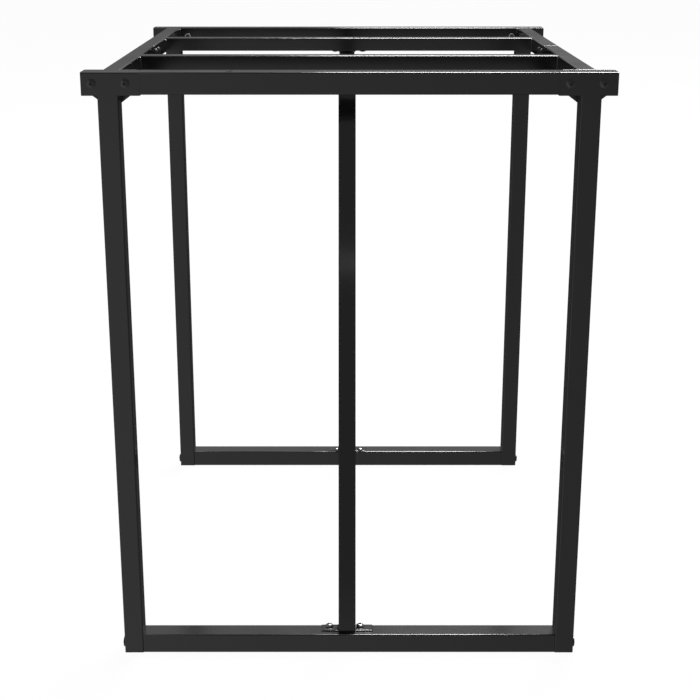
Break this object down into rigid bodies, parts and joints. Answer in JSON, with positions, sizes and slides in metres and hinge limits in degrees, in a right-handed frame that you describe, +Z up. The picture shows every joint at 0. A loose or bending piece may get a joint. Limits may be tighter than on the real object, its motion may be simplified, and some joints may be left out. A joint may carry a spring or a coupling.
{
  "type": "square table base",
  "caption": "Knock-down black steel base for a square table top: upright rectangular leg frames, spliced side rails, cross-bars and leaning centre struts.",
  "frame": {"origin": "middle of the footprint, on the floor", "axes": "+Z up, -Y towards the front leg frame, +X to the right seen from the front"},
  "size_m": [0.6, 0.604, 0.728],
  "materials": {
    "coat": "satin black powder coat with a fine even texture",
    "strut_coat": "satin black powder coat, the same as the frame's",
    "black_screws": "black oxide, semi-gloss",
    "plugs": "moulded black polyethylene",
    "zinc": "zinc-plated, not seen on the assembled base"
  },
  "bodies": {
    "root": {"left_front_post": "coat", "right_front_post": "coat", "left_rear_post": "coat", "right_rear_post": "coat", "left_front_head": "coat", "right_front_head": "coat", "left_rear_head": "coat", "right_rear_head": "coat", "head_end_plugs": "plugs", "post_foot_plugs": "plugs", "front_top_rail": "coat", "rear_top_rail": "coat", "top_rail_tongues": "zinc", "front_bottom_rail": "coat", "rear_bottom_rail": "coat", "bottom_rail_end_nuts": "zinc", "bottom_rail_bolts": "black_screws", "left_front_side_rail": "coat", "right_front_side_rail": "coat", "left_rear_side_rail": "coat", "right_rear_side_rail": "coat", "left_front_end_plate": "coat", "right_front_end_plate": "coat", "left_rear_end_plate": "coat", "right_rear_end_plate": "coat", "corner_screws": "black_screws", "end_plate_nuts": "zinc", "left_splice_insert": "zinc", "right_splice_insert": "zinc", "splice_screws": "black_screws", "front_cross_bar": "coat", "rear_cross_bar": "coat", "cross_bar_nut_plates": "zinc", "front_strut": "strut_coat", "rear_strut": "strut_coat", "front_strut_foot_plate": "coat", "rear_strut_foot_plate": "coat", "front_strut_head_plate": "coat", "rear_strut_head_plate": "coat", "strut_foot_screws": "black_screws", "strut_foot_nuts": "zinc", "strut_head_screws": "black_screws"}
  },
  "joints": []
}
